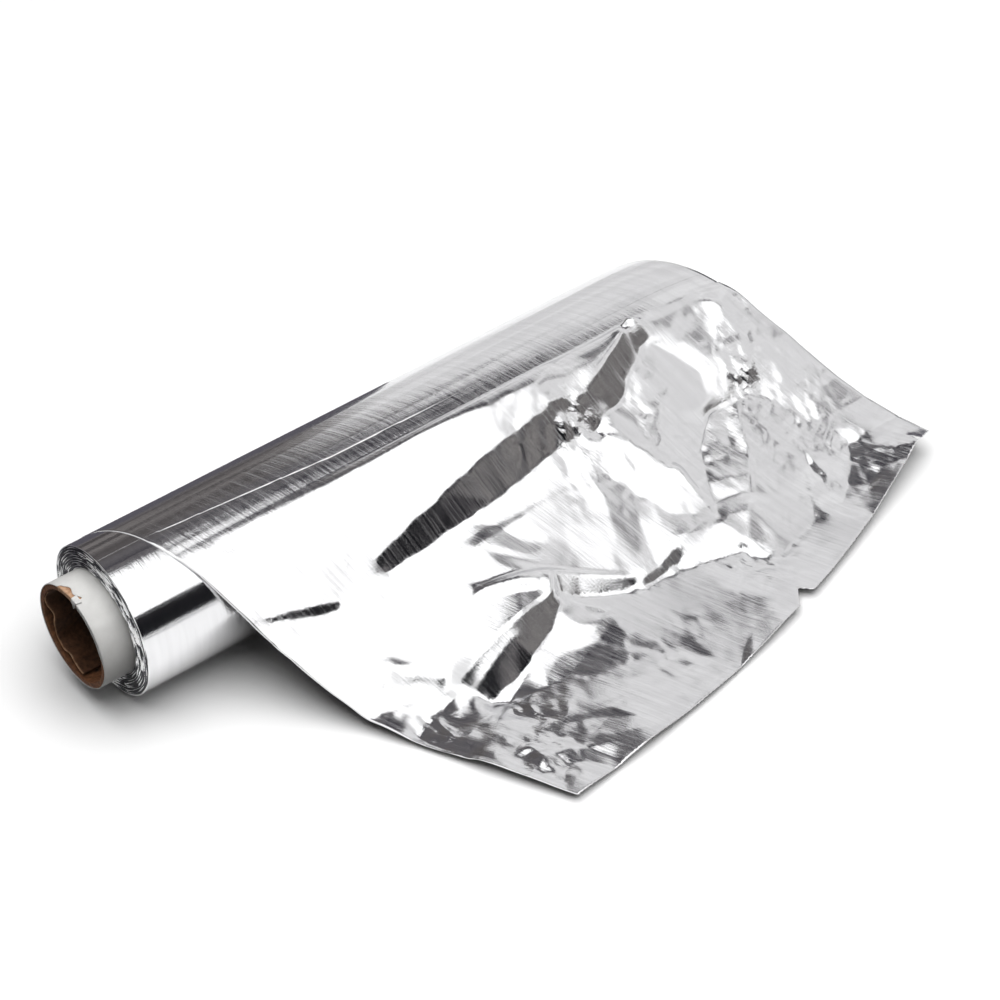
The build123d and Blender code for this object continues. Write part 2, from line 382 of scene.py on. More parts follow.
def windRoll():
    # closed loop of bore, far face, side and near face, carried round the axis
    inner, outer = roll["innerRadius"], roll["radius"]
    farRadii = np.linspace(inner, outer, turns["farRows"])
    nearRadii = np.linspace(outer, inner, turns["nearRows"])
    edge = np.array(turns["edgeRows"])
    inset = turns["sideInset"]
    middle = np.linspace(roll["farX"] - inset, roll["nearX"] + inset, turns["sideRows"])
    side = np.concatenate([roll["farX"] - edge, middle, roll["nearX"] + edge[::-1]])
    radius = np.concatenate([farRadii, np.full(len(side), outer), nearRadii])
    x = np.concatenate([np.full(len(farRadii), roll["farX"]), side,
                        np.full(len(nearRadii), roll["nearX"])])
    angle = np.linspace(0, 2 * np.pi, turns["angles"], endpoint=False)
    radiusGrid, angleGrid = np.meshgrid(radius, angle, indexing="ij")
    xGrid = np.repeat(x[:, None], len(angle), 1)
    gap = np.zeros(xGrid.shape)
    end = np.zeros(xGrid.shape)
    far, near = len(farRadii), len(farRadii) + len(side)
    end[:far] = end[near:] = 1
    depth, gap[:far] = endDepth(radiusGrid[:far], angleGrid[:far], 11)
    xGrid[:far] += depth
    depth, gap[near:] = endDepth(radiusGrid[near:], angleGrid[near:], 5)
    xGrid[near:] -= depth
    points = aroundAxis(xGrid, radiusGrid, angleGrid)
    points[..., 2] = np.maximum(points[..., 2], 0)
    faces = gridFaces(len(radius), len(angle), True, True)
    web = np.stack([xGrid + radiusGrid, angleGrid * outer], -1).reshape(-1, 2)
    marks = {"gap": gap, "end": end, "crumple": 0 * gap, "wound": 1 + 0 * gap,
             "crease": foilLook["creaseFar"] + 0 * gap}
    return makePiece("woundTurns", points.reshape(-1, 3), faces, woundFoil, ["foil"],
                     web, marks)


print("wound roll")
windRoll()


sheet = {
    "peelAngle": math.radians(24),
    "nearSlip": 29.7,
    "farSlip": 45.7,
    "nearReach": 174.0,
    "farReach": 97.0,
    "nearDrift": 93.5,
    "farDrift": 54.0,
    "tearBulge": 14.0,
    "notchShare": 0.58,
    "notchDepth": 7.0,
    "notchHalf": 0.022,
    "toothDepth": 0.7,
    "toothPitch": 3.2,
    "tearLength": 330.0,
    "sagDepth": 9.0,
    "sagLength": 60.0,
    "touchDown": 112.0,
    # share of the run from peel line to touch down, and share of the peel height there
    "drape": [(0, 1), (0.04, 0.972), (0.1, 0.91), (0.2, 0.764), (0.3, 0.618), (0.4, 0.474),
              (0.5, 0.350), (0.6, 0.25), (0.74, 0.15), (0.87, 0.105), (1, 0.08), (1.3, 0.058),
              (2, 0.035)],
    "lift": 0.16,            # over the turn below
    "thickness": 0.14,
    "columns": 236,
    "wrappedAngles": [-91, -40, 0, 24],
    "wrappedRows": [10, 22, 20],
    "leafRows": 150,
    "lowest": 0.05,          # over the floor
    "webWidth": 320.0,       # lengths that the streaks are laid out in
    "turnRun": 76.0,
    "leafRun": 180.0,
}
peelY = -roll["radius"] * math.sin(sheet["peelAngle"])
peelZ = roll["axisZ"] + roll["radius"] * math.cos(sheet["peelAngle"])


def sag(x):
    # the sheet hangs past the roll's far end by the square of the distance
    return sheet["sagDepth"] * (np.maximum(0, x - roll["farX"]) / sheet["sagLength"]) ** 2


def tearReach(across):
    # run from peel line to torn edge: a straight taper, a bulge, one notch and fine teeth
    reach = sheet["nearReach"] + (sheet["farReach"] - sheet["nearReach"]) * across
    reach = reach + sheet["tearBulge"] * np.sin(np.pi * across)
    notch = np.clip(1 - np.abs(across - sheet["notchShare"]) / sheet["notchHalf"], 0, 1)
    tooth = np.abs((across * sheet["tearLength"] / sheet["toothPitch"]) % 1 - 0.5) * 2
    return reach - sheet["notchDepth"] * notch - sheet["toothDepth"] * tooth


def leafPlan(across, along):
    # place on the floor plan: both side edges drift towards the far end as they run out
    left = roll["nearX"] + sheet["nearSlip"] + sheet["nearDrift"] * along
    right = roll["farX"] + sheet["farSlip"] + sheet["farDrift"] * along
    return left + (right - left) * across, peelY - tearReach(across) * along


# Facets of the loose end seen from above: corners, then the slopes along x and y that the
# sheet takes there. Under "lean" the slopes are added to the drape's own instead.
lean = {
    "rightField": ([(146, -16), (186, -16), (192, -60), (190, -126), (131, -118), (127, -98),
                    (126, -72), (110, -58), (98, -43)], -0.09, 0.0),
    "farField": ([(192, -16), (235, -40), (256, -112), (190, -126), (186, -60)], -0.06, 0.0),
    "whiteBay": ([(-120, -20), (90, -20), (84, -42), (110, -62), (126, -95), (70, -104),
                  (35, -87), (-30, -105), (-95, -60)], 0.01, 0.0),
    "innerBay": ([(-70, -55), (80, -55), (100, -80), (70, -104), (35, -90), (-20, -94)],
                 0.0, -0.20),
}
facets = {
    "lightFacet": ([(104, -41), (145, -27), (162, -44), (154, -58), (139, -72), (126, -72),
                    (109, -55)], -0.14, 0.76),
    "hook": ([(133, -15), (143, -18), (144, -25), (138, -27), (139, -21)], 0.0, 1.45),
    "bandA": ([(142, -21), (136, -27), (118, -40), (92, -48), (80, -40), (104, -34), (125, -25),
               (138, -19)], 0.03, 1.40),
    "greyFacet": ([(154, -58), (171, -59), (160, -84), (143, -106), (131, -118), (127, -98),
                   (139, -72)], 0.08, 0.36),
    "farPatch": ([(204, -20), (187, -16), (172, -18), (160, -31), (166, -42), (190, -42)],
                 -0.08, 0.70),
    "vertexRight": ([(131, -118), (143, -104), (160, -88), (178, -100), (170, -122), (140, -130)],
                    -0.12, 0.42),
    "farDark": ([(212, -96), (236, -112), (238, -122), (196, -140), (186, -122), (204, -108)],
                0.20, 0.04),
    "farTriangle": ([(187, -93), (193, -114), (184, -103)], 0.30, 0.0),
    "bayFoot": ([(0, -78), (10, -64), (64, -62), (122, -76), (127, -97), (98, -103), (72, -104),
                 (37, -87)], 0.08, 0.56),
    "middleRise": ([(38, -90), (74, -106), (72, -111), (36, -100)], 0.02, 1.06),
    "middleLeft": ([(36, -100), (72, -111), (76, -156), (50, -150), (20, -142), (4, -130)],
                   -0.06, 0.10),
    "middleRight": ([(68, -108), (131, -119), (134, -130), (110, -148), (78, -174), (62, -152),
                     (64, -122)], -0.05, 0.08),
    "tipFan": ([(-31, -108), (-61, -117), (-50, -146), (-34, -139), (-16, -125)], 0.16, 0.04),
    "tipRight": ([(-16, -125), (-34, -139), (-20, -146), (0, -136), (30, -138), (50, -128),
                  (50, -120), (9, -132)], 0.12, 0.06),
    "aboveBand": ([(36, -89), (2, -82), (-28, -90), (-36, -108), (-17, -115), (28, -100)], 0.22, 0.40),
    "bandTwo": ([(34, -99), (20, -99), (-6, -103), (-30, -107), (-24, -118), (-15, -125),
                 (-5, -119), (23, -109)], 0.32, 1.30),
    "brightFacet": ([(34, -99), (50, -112), (9, -132), (-15, -125), (-4, -118), (23, -109)],
                    0.20, 0.36),
    "cornerPlain": ([(-34, -139), (-16, -127), (66, -146), (80, -168), (-28, -196), (-62, -150)],
                    -0.11, 0.02),
    "cornerTriangle": ([(-8, -162), (26, -178), (2, -184)], 0.16, 0.0),
    "cornerSpear": ([(-11, -148), (18, -157), (25, -169), (12, -160)], 0.16, 0.0),
    "cornerBlotch": ([(-33, -149), (-24, -150), (-26, -168), (-34, -166)], 0.12, 0.0),
}
# Narrow facets: start x and y, end x and y, half width at both ends, slopes along x and y.
strips = {
    "bandB": (86, -39, 40, -45, 6.2, 6.6, 0.0, 1.36),
    "bandC": (40, -45, -32, -52, 6.6, 2.6, 0.0, 1.42),
    "bandFoot": (4, -111, -24, -117, 4.5, 3.5, 0.45, 1.9),
    "nearSpear": (-60, -57, -96, -50, 0.9, 0.4, 0.0, 1.45),
    "sliver": (-3, -84, 28, -93, 0.5, 2.2, 0.0, 1.25),
    "bar": (98, -106, 73, -110, 2.8, 2.0, 0.0, 1.15),
    "ridgeShade": (-14, -129, 42, -139, 3.5, 2.0, 0.10, 0.04),
}
# Low rises added to the drape: x, y, radius, height.
pillows = {
    "corner": (-8, -154, 50, 14.0),
    "farEdge": (230, -66, 42, 6.0),
    "farCorner": (244, -108, 22, 3.0),
}
relief = {
    "xSpan": (-140, 272),
    "ySpan": (-216, 12),     # the second one past the peel line
    "cell": 1.0,
    "memory": 50.0,          # how far a facet's height spreads
    "feather": 1.2,
    "leanFeather": 3.6,
    "leanFirm": 0.6,
    "rounds": 11,
    "give": 0.4,
    "hold": 24.0,            # how far the held peel line and torn edge reach
    "farHold": 12.0,         # and the held far edge
    "tearHeld": (95, 135, 185, 215),     # x where the torn edge starts and ends to be held
    "clearance": 3.2,        # over the floor
    "liftReach": 13.0,
    "liftGain": 1.3,
    "liftPasses": 3,
    "crumpleFrom": 9.0,      # crumples grow over this run from the peel line
    "rest": 1.4,             # lower places flatten out towards the floor
    "top": 76.0,             # and higher ones towards this height
    "bend": 1.5,
    "ragged": 0.9,           # how far a strip's sides wander, in streaks along the web
    "raggedStep": 1.5,
    "raggedFrom": -150.0,
}


def baseDrape(x, y):
    # peel height times the drape curve at this share of the run, less the sag, and low
    # rises of exp(-distance^2 / radius^2)
    share = (peelY - y) / sheet["touchDown"]
    height = peelZ * np.interp(share, *zip(*sheet["drape"]))
    for cx, cy, radius, rise in pillows.values():
        height = height + rise * np.exp(-((x - cx) ** 2 + (y - cy) ** 2) / radius**2)
    return height - sag(x) * np.exp(-3 * np.maximum(share, 0))


def stripMask(x, y, strip, feather):
    # 1 inside a strip whose half width runs from one end to the other, with soft sides that,
    # on wide strips, wander by a seeded amount at every ragged step of x
    ax, ay, bx, by, halfA, halfB = strip[:6]
    length = math.hypot(bx - ax, by - ay)
    run = ((x - ax) * (bx - ax) + (y - ay) * (by - ay)) / length
    side = np.abs((x - ax) * (by - ay) - (y - ay) * (bx - ax)) / length
    half = halfA + (halfB - halfA) * np.clip(run / length, 0, 1)
    wander = np.random.default_rng(int(abs(ax) + 7 * abs(ay))).uniform(-1, 0.4, 300)
    steps = np.arange(len(wander)) * relief["raggedStep"] + relief["raggedFrom"]
    half = half + relief["ragged"] * np.interp(x, steps, wander) * (half > 2)
    inside = smooth((half - side) / feather + 0.5)
    ends = smooth(np.minimum(run, length - run) / feather + 0.5)
    return inside * ends


def facetMask(x, y, corners, feather):
    # 1 inside the corners and 0 outside, soft over the distance to the nearest side
    inside = np.zeros(x.shape, bool)
    nearest = np.full(x.shape, 1e9)
    for (ax, ay), (bx, by) in zip(corners, corners[1:] + corners[:1]):
        crosses = (ay > y) != (by > y)
        rise = by - ay if by != ay else 1e-9
        inside ^= crosses & (x < ax + (bx - ax) * (y - ay) / rise)
        share = ((x - ax) * (bx - ax) + (y - ay) * (by - ay)) / ((bx - ax) ** 2 + (by - ay) ** 2)
        share = np.clip(share, 0, 1)
        awayX, awayY = x - ax - (bx - ax) * share, y - ay - (by - ay) * share
        nearest = np.minimum(nearest, np.hypot(awayX, awayY))
    return smooth(np.where(inside, nearest, -nearest) / feather + 0.5)


def lattice(x, y, size, turn, seed):
    # flat triangles between seeded heights on a turned and warped lattice
    rng = np.random.default_rng(seed)
    table = rng.normal(0, 1, (97, 97))
    u = (x * math.cos(turn) + y * math.sin(turn)) / size + 300
    v = (y * math.cos(turn) - x * math.sin(turn)) / size + 300
    u, v = (u + 0.38 * np.sin(v * 1.9 + seed) + 0.22 * np.sin(v * 4.3 + u * 1.3),
            v + 0.38 * np.sin(u * 2.1 + seed * 2) + 0.22 * np.sin(u * 3.7 - v * 1.7))
    i, j = np.floor(u).astype(int), np.floor(v).astype(int)
    s, t = u - i, v - j
    i, j = i % 96, j % 96
    lower = table[i, j] + (table[i + 1, j] - table[i, j]) * s + (table[i, j + 1] - table[i, j]) * t
    upper = (table[i + 1, j + 1] + (table[i, j + 1] - table[i + 1, j + 1]) * (1 - s)
             + (table[i + 1, j] - table[i + 1, j + 1]) * (1 - t))
    return np.where(s + t < 1, lower, upper)


# Crumpled places: x, y, radius, strength
crumples = {
    "knot": (87, -40, 10, 1.6),
    "belowKnot": (84, -56, 20, 0.5),
    "nearFold": (-94, -55, 8, 0.8),
    "nearEdge": (-63, -92, 12, 0.8),
    "tip": (-50, -124, 14, 0.8),
    "corner": (-22, -158, 22, 0.8),
    "foldEnd": (-12, -134, 9, 1.2),
    "vertex": (128, -127, 13, 1.0),
    "farSide": (187, -30, 16, 0.5),
    "farCrease": (180, -54, 10, 0.8),
    "bandB": (62, -41, 16, 0.45),
    "farField": (190, -80, 40, 0.5),
    "rightBay": (120, -66, 26, 0.5),
    "farTear": (222, -112, 16, 0.3),
    "middleTear": (60, -150, 30, 0.35),
}
crumple = {
    "sizes": [26.0, 11.0, 5.0],
    "slopes": [0.030, 0.045, 0.07],
    "everywhere": [0.8, 0.10, 0.0],
}


def crumplePlace(x, y):
    # sum of round soft spots
    place = np.zeros(x.shape)
    for cx, cy, radius, strength in crumples.values():
        place = place + strength * np.exp(-((x - cx) ** 2 + (y - cy) ** 2) / radius**2)
    return place


def crumpleHeight(x, y):
    # three sizes of flat triangles, the smaller ones mostly in the crumpled places
    place = crumplePlace(x, y)
    total = np.zeros(x.shape)
    rows = zip(crumple["sizes"], crumple["slopes"], crumple["everywhere"])
    for k, (size, slope, base) in enumerate(rows):
        folds = lattice(x, y, size, 0.5 + 0.9 * k, 31 + k)
        total = total + slope * size * (base + place) * folds
    return total


def filtered(field, response):
    # the field times a response to its waves, on a grid mirrored at its edges
    mirrored = np.concatenate([field, field[::-1]], 0)
    mirrored = np.concatenate([mirrored, mirrored[:, ::-1]], 1)
    waveX = 2 * np.pi * np.fft.fftfreq(mirrored.shape[0])[:, None]
    waveY = 2 * np.pi * np.fft.fftfreq(mirrored.shape[1])[None, :]
    result = np.fft.ifft2(np.fft.fft2(mirrored) * response(waveX, waveY)).real
    return result[:field.shape[0], :field.shape[1]]


def fitHeights(base, slopeX, slopeY, cell):
    # heights whose slopes come closest to the given ones, pulled gently to the base:
    # (pull - laplacian) height = pull * base - divergence, solved by cosine transform
    spread = np.gradient(slopeX, cell, axis=0) + np.gradient(slopeY, cell, axis=1)
    pull = 1 / relief["memory"] ** 2
    return filtered(pull * base - spread,
                    lambda u, v: 1 / (pull + (4 - 2 * np.cos(u) - 2 * np.cos(v)) / cell**2))


def liftOff(height, cell):
    # ground that sinks too low comes up as a whole: the missing clearance, blurred, is added
    reach = relief["liftReach"] / cell
    for _ in range(relief["liftPasses"]):
        missing = np.maximum(relief["clearance"] - height, 0)
        risen = filtered(missing, lambda u, v: np.exp(-(u**2 + v**2) * reach**2 / 2))
        height = height + relief["liftGain"] * risen
    return height


def holdEdges(height, base, x, y):
    # take off what the facets lifted at the peel line, at the far edge and along the held part
    # of the torn edge, dying away inwards; a cell is 1 mm, so a place is also an index
    lift = height - base
    hold, farHold = relief["hold"], relief["farHold"]
    peelColumn = int(np.argmin(np.abs(y[0] - peelY)))
    atPeel = lift[:, peelColumn:peelColumn + 1]
    lift = lift - atPeel * np.exp(-np.maximum(peelY - y, 0) / hold)
    along = (peelY - y[0]) / sheet["farReach"]
    edge = roll["farX"] + sheet["farSlip"] + sheet["farDrift"] * along
    row = np.clip(np.round(edge - x[0, 0]).astype(int), 0, len(x) - 1)
    atEdge = lift[row, np.arange(y.shape[1])][None, :]
    lift = lift - atEdge * np.exp(-np.maximum(edge[None, :] - x, 0) / farHold)
    nearCorner, farCorner = leafPlan(0, 1)[0], leafPlan(1, 1)[0]
    across = np.clip((x[:, 0] - nearCorner) / (farCorner - nearCorner), 0, 1)
    torn = peelY - tearReach(across)
    column = np.clip(np.round(torn - y[0, 0]).astype(int), 0, y.shape[1] - 1)
    a, b, c, d = relief["tearHeld"]
    held = smooth((x[:, 0] - a) / (b - a)) * (1 - smooth((x[:, 0] - c) / (d - c)))
    atTear = (lift[np.arange(len(x)), column] * held)[:, None]
    return base + lift - atTear * np.exp(-np.maximum(y - torn[:, None], 0) / hold)


def carveRelief():
    # the drape with its facets: slopes asked for again until the facets have them, then the
    # crumples, and soft limits at the floor and the top
    cell = relief["cell"]
    xs = np.arange(*relief["xSpan"], cell)
    ys = np.arange(relief["ySpan"][0], peelY + relief["ySpan"][1], cell)
    x, y = np.meshgrid(xs, ys, indexing="ij")
    base = baseDrape(x, y)
    wantX, wantY = np.gradient(base, cell)
    firm = np.zeros(base.shape)
    for corners, addX, addY in lean.values():
        mask = facetMask(x, y, corners, relief["leanFeather"])
        wantX, wantY = wantX + addX * mask, wantY + addY * mask
        firm = np.maximum(firm, relief["leanFirm"] * mask)
    feather = relief["feather"]
    masks = [(facetMask(x, y, f[0], feather), f[1], f[2]) for f in facets.values()]
    masks += [(stripMask(x, y, f, feather), f[6], f[7]) for f in strips.values()]
    for mask, toX, toY in masks:
        wantX = wantX + (toX - wantX) * mask
        wantY = wantY + (toY - wantY) * mask
        firm = np.maximum(firm, mask)
    slopeX, slopeY = wantX, wantY
    for _ in range(relief["rounds"]):
        height = holdEdges(fitHeights(base, slopeX, slopeY, cell), base, x, y)
        height = liftOff(height, cell)
        isX, isY = np.gradient(height, cell)
        give = relief["give"] * (1 - firm)
        slopeX = slopeX + firm * (wantX - isX) + give * (isX - slopeX)
        slopeY = slopeY + firm * (wantY - isY) + give * (isY - slopeY)
    height = height + crumpleHeight(x, y) * smooth((peelY - y) / relief["crumpleFrom"])
    rest, bend = relief["rest"], relief["bend"]
    ceiling = relief["top"] - bend
    flattened = relief["top"] - bend * np.exp((ceiling - height) / bend)
    height = np.where(height > ceiling, flattened, height)
    return xs, ys, np.where(height < rest, rest * np.exp((height - rest) / rest), height)


def readRelief(field, x, y):
    # height between the four nearest cells
    xs, ys, height = field
    u = np.clip((x - xs[0]) / (xs[1] - xs[0]), 0, len(xs) - 1.001)
    v = np.clip((y - ys[0]) / (ys[1] - ys[0]), 0, len(ys) - 1.001)
    i, j = u.astype(int), v.astype(int)
    s, t = u - i, v - j
    low = height[i, j] * (1 - s) + height[i + 1, j] * s
    high = height[i, j + 1] * (1 - s) + height[i + 1, j + 1] * s
    return low * (1 - t) + high * t


waves = {
    "count": 7,
    "degrees": (5, 17),      # from one wave to the next
    "slant": 0.010,
    "height": 0.001375,      # for each degree of a wave's width
    "endAt": 24.0,
    "endOver": 8.0,
}
# The long crease near the top of the roll: its place round the roll at some x, and where it
# fades out.
crease = {
    "x": [-150, -107, -28, 11, 90],
    "degrees": [-3, 2.5, 11.3, 12, 12.5],
    "nearEnd": -114.0,
    "nearFade": 0.2,
    "farEnd": 5.0,
    "farFade": 0.02,
    "breaks": 0.25,
}


def turnWaves(x, angle):
    # faint waves that run along the roll: seeded sines of the angle with a slight slant
    degrees = np.degrees(angle)
    total = np.zeros(np.broadcast(x, angle).shape)
    rng = np.random.default_rng(4)
    for k in range(waves["count"]):
        step = rng.uniform(*waves["degrees"])
        slant = rng.uniform(-waves["slant"], waves["slant"])
        phase = degrees / step + slant * x + rng.uniform()
        total = total + waves["height"] * step * np.sin(2 * np.pi * phase)
    return total * smooth((waves["endAt"] - degrees) / waves["endOver"])


def creaseAway(x, angle):
    # distance round the roll to the long crease, in millimetres, larger past its ends and in
    # its breaks, which two sines of x place
    place = np.interp(x, crease["x"], crease["degrees"])
    away = (np.degrees(angle) - place) * math.radians(1) * roll["radius"]
    nearPast = np.maximum(0, crease["nearEnd"] - x) * crease["nearFade"]
    farPast = np.maximum(0, x - crease["farEnd"]) * crease["farFade"]
    breaks = crease["breaks"] * np.clip(np.sin(x * 0.31) + np.sin(x * 0.123 + 1), 0, 2)
    return away + np.where(away < 0, -1, 1) * (nearPast + farPast + breaks)


def layLooseEnd():
    # slipped turn round the roll, then the drape with its facets, as one thin closed sheet
    stops, counts = sheet["wrappedAngles"], sheet["wrappedRows"]
    angle = np.concatenate([np.linspace(a, b, n, endpoint=False)
                            for a, b, n in zip(stops, stops[1:], counts)])
    angle = np.radians(angle)[:, None]
    across = np.linspace(0, 1, sheet["columns"])[None, :]
    turnShare = (angle - angle[0]) / (sheet["peelAngle"] - angle[0])
    left = roll["nearX"] + sheet["nearSlip"] * turnShare
    right = roll["farX"] + sheet["farSlip"] * turnShare
    x = left + (right - left) * across
    lift = sheet["lift"] * np.clip(turnShare * 8, 0.05, 1)
    radius = roll["radius"] + lift + turnWaves(x, angle)
    turn = aroundAxis(x, radius, angle + 0 * x)
    turn[..., 2] -= sag(x)
    along = np.linspace(0, 1, sheet["leafRows"])[:, None]
    planX, planY = leafPlan(across, along)
    height = np.maximum(readRelief(carveRelief(), planX, planY), sheet["lowest"])
    lift = sheet["lift"] * (1 - smooth(along * 8))
    leaf = np.stack([planX, planY, height + lift + sheet["thickness"]], -1)
    top = np.concatenate([turn, leaf], 0)
    normal = np.cross(np.gradient(top, axis=0), np.gradient(top, axis=1))
    normal /= np.linalg.norm(normal, axis=-1, keepdims=True)
    bottom = top - normal * sheet["thickness"]
    bottom[..., 2] = np.maximum(bottom[..., 2], 0)
    points, faces, rim = closeSheet(top, bottom)
    webX = across * sheet["webWidth"] + 0 * top[..., 0]
    turnRun, leafRun = sheet["turnRun"], sheet["leafRun"]
    webY = np.concatenate([turnShare * turnRun, turnRun + along * leafRun]) + 0 * webX
    uv = np.stack([webX, webY], -1).reshape(-1, 2)
    crumpled = np.clip(crumplePlace(planX, planY) - 0.25, 0, 1.2)
    marks = {
        "crumple": np.concatenate([0 * x, crumpled]),
        "wound": np.concatenate([1 + 0 * x, smooth(1 - along * 12) + 0 * planX]),
        "crease": np.concatenate([creaseAway(x, angle), foilLook["creaseFar"] + 0 * planX]),
    }
    marks = {name: np.tile(mark.ravel(), 2) for name, mark in marks.items()}
    return makePiece("looseEnd", points, faces, looseFoil, uv=np.tile(uv, (2, 1)),
                     marks=marks, flat=rim)


print("loose end")
layLooseEnd()


core = {
    "nearRim": tubeLow[0],
    "farRim": tubeHigh[0],
    "angles": 300,
    "tearFrom": -22.0,       # degrees from the top
    "tearTo": 13.0,
    "tearDepth": (1.8, 4.0),
    "lipFrom": 13.0,         # the paper comes over the rim here
    "lipTo": 96.0,
    "nickAt": (-158.1, -5.1, 13.6),
    "nickRadius": 0.9,
    "rimRound": 0.3,
    "fineRun": 12.0,         # finer rows near the rim
    "frayRun": 8.0,
    "frayDepth": 0.16,
}
wrap = {
    "angles": 600,
    "rows": 26,
    "slack": 0.02,           # off the board
    "bulge": 0.22,           # past the rim
    "lipRound": 0.12,
    "lipInset": 0.08,
    "lipThickness": 0.1,
}
# The hanging scrap: along its run, the place past the rim, the radius and half its width.
scrap = {
    "run": [0, 0.25, 0.45, 1],
    "past": [2.6, -0.35, -0.7, 0.2],
    "radius": [26.95, 26.7, 25.0, 20.7],
    "widthRun": [0, 0.3, 0.7, 1],
    "halfDegrees": [5.0, 4.2, 3.0, 1.3],
    "degrees": 10.5,
    "drift": 1.5,
    "thickness": 0.22,
}
ply = {
    "thickness": 0.45,
    "depth": 17.0,
    "inset": 0.6,
    "fromAngle": -62.0,
    "bondAngle": -72.0,
    "kinkAngle": -135.0,
    "toAngle": -193.0,
    "upperBulge": 6.2,
    "lowerBulge": 4.4,
    "standOff": 2.2,
}


def tearAt(degrees):
    # how far the paper is torn back at an angle: a window with seeded ragged depth
    window = smooth((degrees - core["tearFrom"]) / 3) * smooth((core["tearTo"] - degrees) / 3)
    ragged = 1 + 0.22 * ripple(np.radians(degrees), 21, 16, 12)
    depth = np.interp(degrees, [core["tearFrom"], core["tearTo"]], core["tearDepth"])
    return np.maximum(depth * window * ragged, 0)


def makeCore():
    # board tube: bore, far rim, outside and near rim as one loop, frayed under the tear
    bore, outer, turned = roll["boreRadius"], roll["coreRadius"], core["rimRound"]
    near, far, fine = core["nearRim"], core["farRim"], core["fineRun"]
    along = np.concatenate([np.linspace(0, fine, 13), np.linspace(fine, far - near, 14)[1:]])
    count = len(along)
    x = np.concatenate([near + along, [far, far], near + along[::-1], [near, near]])
    radius = np.concatenate([np.full(count, bore), [bore + turned, outer - turned],
                             np.full(count, outer), [outer - turned, bore + turned]])
    angle = np.linspace(-np.pi, np.pi, core["angles"], endpoint=False)
    radiusGrid, angleGrid = np.meshgrid(radius, angle, indexing="ij")
    xGrid = np.repeat(x[:, None], len(angle), 1)
    close = smooth(1 - (xGrid - near) / core["frayRun"])
    torn = smooth(tearAt(np.degrees(angleGrid)) / 0.8) * (radiusGrid > bore + 0.2) * close
    fray = np.abs(ripple(angleGrid + 0.3 * xGrid, 9, 20, 20))
    radiusGrid = radiusGrid - core["frayDepth"] * torn * fray
    points = aroundAxis(xGrid, radiusGrid, angleGrid)
    # painted shade round the nick: full within its radius, gone at twice its radius
    away = np.linalg.norm(points - np.array(core["nickAt"]), axis=-1)
    nick = smooth(2 - away / core["nickRadius"])
    faces = gridFaces(len(x), len(angle), True, True)
    return makePiece("coreBoard", points.reshape(-1, 3), faces, kraftBoard,
                     ["core_tube"], marks={"torn": torn, "nick": nick})


def makeWrap():
    # white paper round the core: outside, over part of the near rim, and back underneath
    inner, outer, bore = roll["coreRadius"] + wrap["slack"], roll["wrapRadius"], roll["boreRadius"]
    angle = np.linspace(-np.pi, np.pi, wrap["angles"], endpoint=False)
    degrees = np.degrees(angle)
    near = core["nearRim"] + tearAt(degrees)
    lip = smooth((degrees - core["lipFrom"]) / 5) * smooth((core["lipTo"] - degrees) / 30)
    wavy = lip * (1 + 0.04 * ripple(angle, 3, 9, 9))
    lipRadius = inner + (bore - wrap["lipInset"] - inner) * wavy
    lipRadius = np.clip(lipRadius, bore - 0.1, inner)
    run = near + (core["farRim"] - near) * np.linspace(0, 1, wrap["rows"])[:, None] ** 1.5
    front = (near - wrap["bulge"])[None]
    shoulder = (outer - wrap["lipRound"] + 0 * angle)[None]
    under = np.minimum(lipRadius + wrap["lipThickness"], inner)[None]
    x = np.concatenate([front, front, run, run[::-1], (near - 0.03)[None]])
    radius = np.concatenate([lipRadius[None], shoulder, outer + 0 * run, inner + 0 * run, under])
    faces = gridFaces(len(x), len(angle), True, True)
    points = aroundAxis(x, radius, angle[None, :] + 0 * x)
    return makePiece("whiteWrap", points.reshape(-1, 3), faces, whitePaper,
                     ["core_white_wrap"])


def hangScrap():
    # a torn tongue of the paper: over the rim along a bent path, narrowing to a ragged tip
    side = np.linspace(-1, 1, 25)[None, :]
    run = np.linspace(0, 1, 21)[:, None]
    x = core["nearRim"] + np.interp(run, scrap["run"], scrap["past"])
    radius = np.interp(run, scrap["run"], scrap["radius"])
    ragged = 0.5 * np.sin(side * 9 + 1) * run + 0.3 * np.sin(side * 23) * run
    half = np.interp(run, scrap["widthRun"], scrap["halfDegrees"])
    degrees = scrap["degrees"] + side * half - scrap["drift"] * run
    top = aroundAxis(x + 0.5 * side**2 * run, radius + ragged, np.radians(degrees))
    normal = np.cross(np.gradient(top, axis=0), np.gradient(top, axis=1))
    normal /= np.linalg.norm(normal, axis=-1, keepdims=True)
    points, faces, rim = closeSheet(top, top - scrap["thickness"] * normal)
    return makePiece("hangingScrap", points, faces, whitePaper, flat=rim)


def plyLift(degrees):
    # off the wall of the bore: half a sine to the power 1.5 up to the kink, then a lower one
    upper = np.clip((ply["bondAngle"] - degrees) / (ply["bondAngle"] - ply["kinkAngle"]), 0, 1)
    lower = np.clip((ply["kinkAngle"] - degrees) / (ply["kinkAngle"] - ply["toAngle"]), 0, 1)
    rise = ply["upperBulge"] * np.abs(np.sin(np.pi * upper)) ** 1.5 + ply["standOff"] * upper**2
    return rise + ply["lowerBulge"] * np.sin(np.pi * lower) * (1 - 0.4 * lower)


